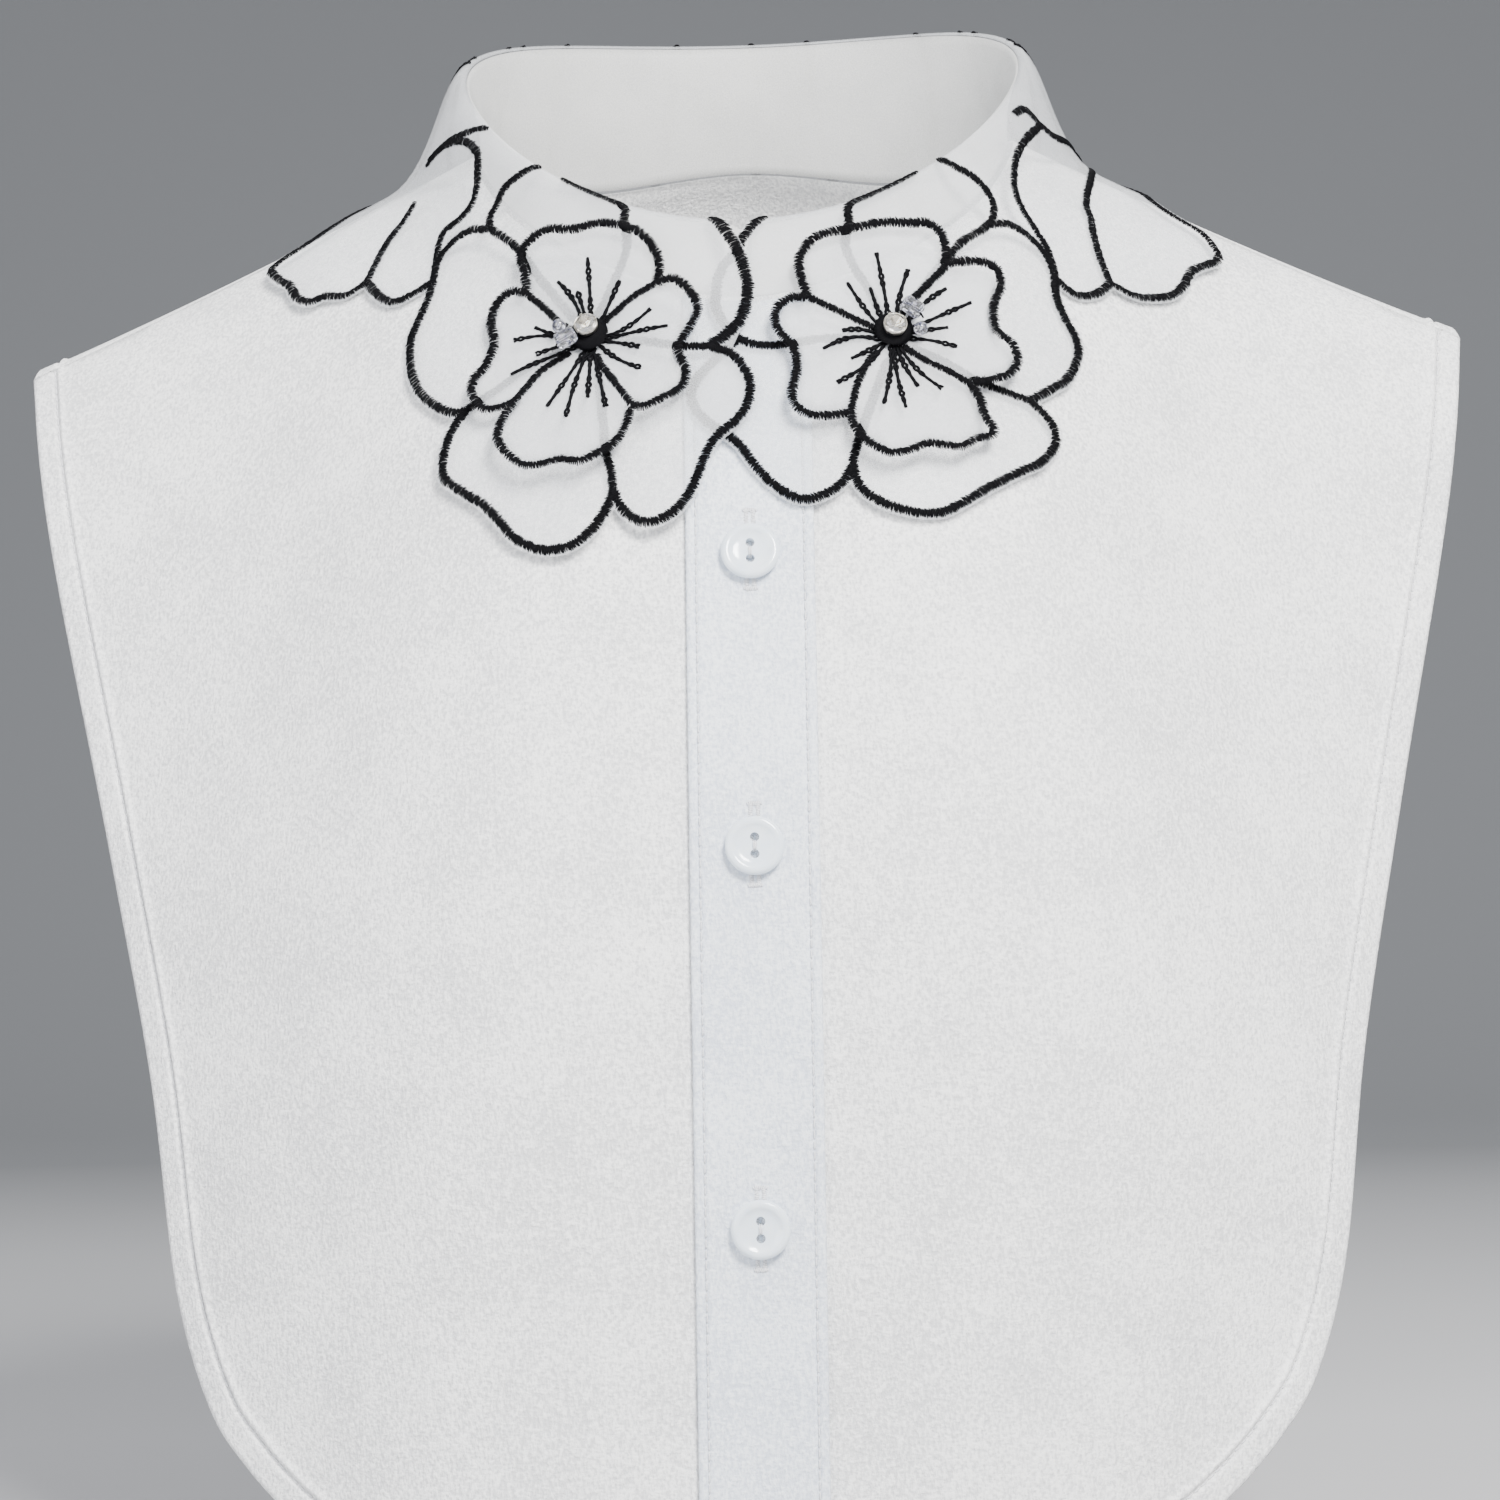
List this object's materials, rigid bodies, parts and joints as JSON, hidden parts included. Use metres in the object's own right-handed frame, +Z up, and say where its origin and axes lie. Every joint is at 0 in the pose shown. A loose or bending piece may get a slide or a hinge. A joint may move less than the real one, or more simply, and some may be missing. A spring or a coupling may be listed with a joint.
{
  "type": "bib collar (false shirt collar, neckwear)",
  "caption": "False shirt collar on a sleeveless buttoned bib, with a turned-down sheer leaf cut in outlined flower petals, kept in the form it has when worn.",
  "frame": {"origin": "middle of the neck hole, level with the two points where the shoulder seams meet the neck", "axes": "+Z up towards the collar's top, -Y towards the buttoned front, +X to the right as seen from the front"},
  "size_m": [0.3566, 0.2154, 0.3766],
  "materials": {
    "crepe": "satin-backed crepe, white, fine grain",
    "organza": "sheer white organza",
    "thread": "black satin-stitch thread",
    "crystal": "faceted, polished",
    "glass_bead": "polished, faintly iridescent",
    "plastic": "glossy, pale bluish white"
  },
  "bodies": {
    "root": {"front_left": "crepe", "front_right": "crepe", "placket": "crepe", "back": "crepe", "neck_band": "organza", "collar_leaf": "organza", "flower_left": "organza", "flower_right": "organza", "flower_centre_left": "thread", "flower_centre_right": "thread", "stone_left": "crystal", "stone_right": "crystal", "tube_bead_left": "glass_bead", "tube_bead_right": "glass_bead", "round_bead_left": "glass_bead", "round_bead_right": "glass_bead", "button_top": "plastic", "button_middle": "plastic", "button_bottom": "plastic"}
  },
  "joints": []
}
